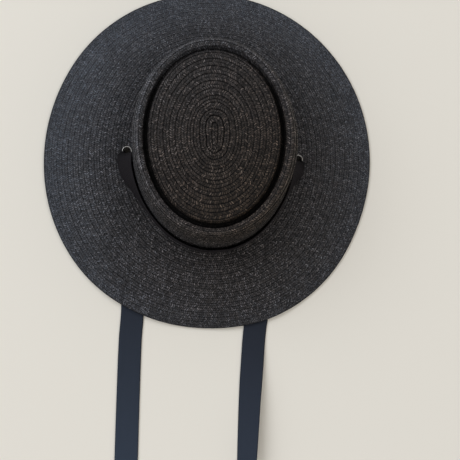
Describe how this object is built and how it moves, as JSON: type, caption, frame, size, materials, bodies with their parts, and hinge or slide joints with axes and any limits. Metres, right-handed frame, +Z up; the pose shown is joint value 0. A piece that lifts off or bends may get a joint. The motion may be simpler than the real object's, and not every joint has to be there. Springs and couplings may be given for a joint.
{
  "type": "straw pork pie hat with ribbon ties",
  "caption": "Black sewn-straw pork pie hat with a wide flat oval brim, a creased oval crown, metal eyelets and ribbon ties laid out from under the brim.",
  "frame": {"origin": "centre of the head opening, in the plane that the brim rests on", "axes": "+Z up out of the crown's tip, +Y to the far end of the crown, away from the ties, +X to the right seen from above with the ties running towards the viewer"},
  "size_m": [0.3388, 0.4948, 0.089],
  "materials": {
    "straw": "matte black straw braid, sewn in rows",
    "eyelet_metal": "dark nickel, dull",
    "ribbon_cloth": "very dark navy woven ribbon, matte"
  },
  "bodies": {
    "root": {"crown": "straw", "brim": "straw", "eyelet_left": "eyelet_metal", "eyelet_right": "eyelet_metal", "ribbon": "ribbon_cloth"}
  },
  "joints": []
}
